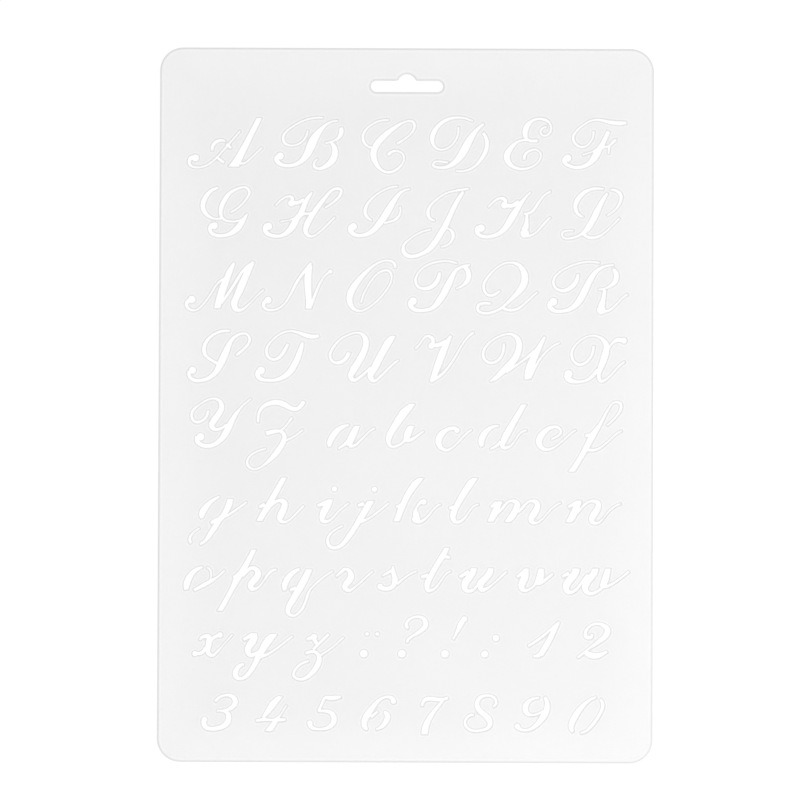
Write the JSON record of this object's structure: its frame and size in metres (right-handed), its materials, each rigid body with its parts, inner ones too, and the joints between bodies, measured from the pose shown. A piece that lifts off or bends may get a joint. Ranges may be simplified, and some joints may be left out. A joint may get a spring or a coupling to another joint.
{
  "type": "lettering stencil",
  "caption": "Thin flat translucent plastic sheet with a roundhand alphabet, figures and marks cut right through it, and a hanging slot at the top.",
  "frame": {"origin": "middle of the sheet's outline, on its underside", "axes": "+X across the sheet to the right as the letters are read, +Y up the sheet towards the hanging slot, +Z out of the sheet's upper face"},
  "size_m": [0.18, 0.26, 0.0005],
  "materials": {
    "sheet": "frosted translucent"
  },
  "bodies": {
    "root": {"stencil_sheet": "sheet"}
  },
  "joints": []
}
